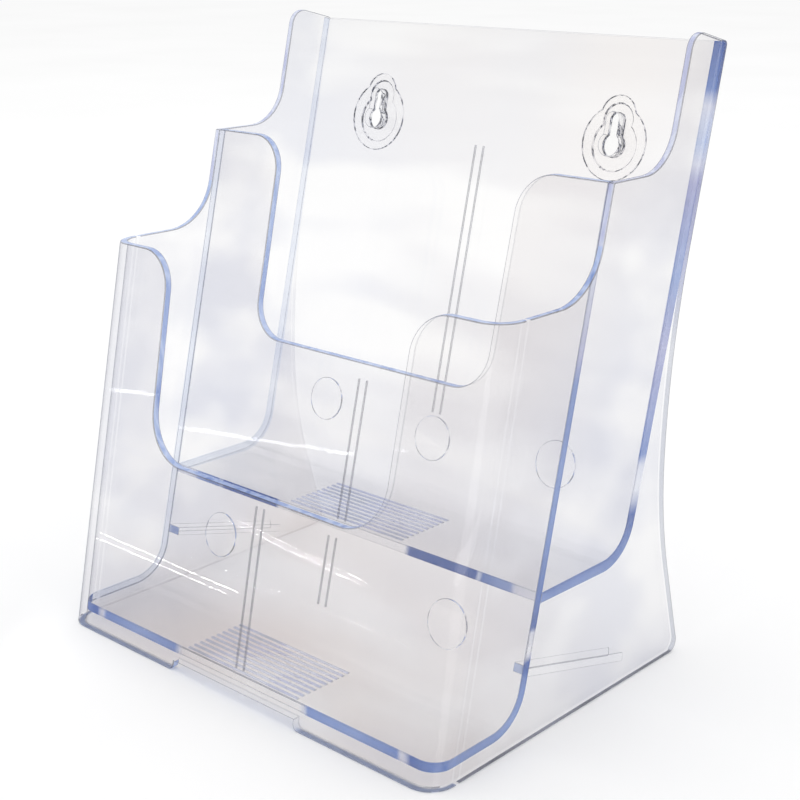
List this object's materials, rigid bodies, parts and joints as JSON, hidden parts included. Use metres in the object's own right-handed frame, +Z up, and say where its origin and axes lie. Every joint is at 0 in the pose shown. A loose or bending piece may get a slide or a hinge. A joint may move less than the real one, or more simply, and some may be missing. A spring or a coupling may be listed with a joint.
{
  "type": "brochure rack",
  "caption": "Clear two-tier brochure rack for A4 or letter leaflets, with finger cut-outs and keyholes, to stand on a desk or hang on a wall.",
  "frame": {"origin": "under the middle of the rack's box, on the surface it stands on", "axes": "+X to the rack's right as seen from the front, +Y from the front panel to the back, +Z up"},
  "size_m": [0.236, 0.184, 0.2807],
  "materials": {
    "clear_sheet": "clear, polished, with a faint blue edge",
    "clear_detail": "clear, polished"
  },
  "bodies": {
    "root": {"left_side_wall": "clear_sheet", "right_side_wall": "clear_sheet", "lower_front_panel": "clear_sheet", "middle_panel": "clear_sheet", "back_panel": "clear_sheet", "left_keyhole_boss": "clear_detail", "right_keyhole_boss": "clear_detail", "left_side_rail": "clear_detail", "right_side_rail": "clear_detail", "lower_front_guides": "clear_detail", "lower_back_guides": "clear_detail", "upper_front_guides": "clear_detail", "upper_back_guides": "clear_detail", "lower_grip_ribs": "clear_detail", "upper_grip_ribs": "clear_detail", "lower_left_pad": "clear_detail", "lower_right_pad": "clear_detail", "upper_left_pad": "clear_detail", "upper_right_pad": "clear_detail", "upper_centre_pad": "clear_detail"}
  },
  "joints": []
}
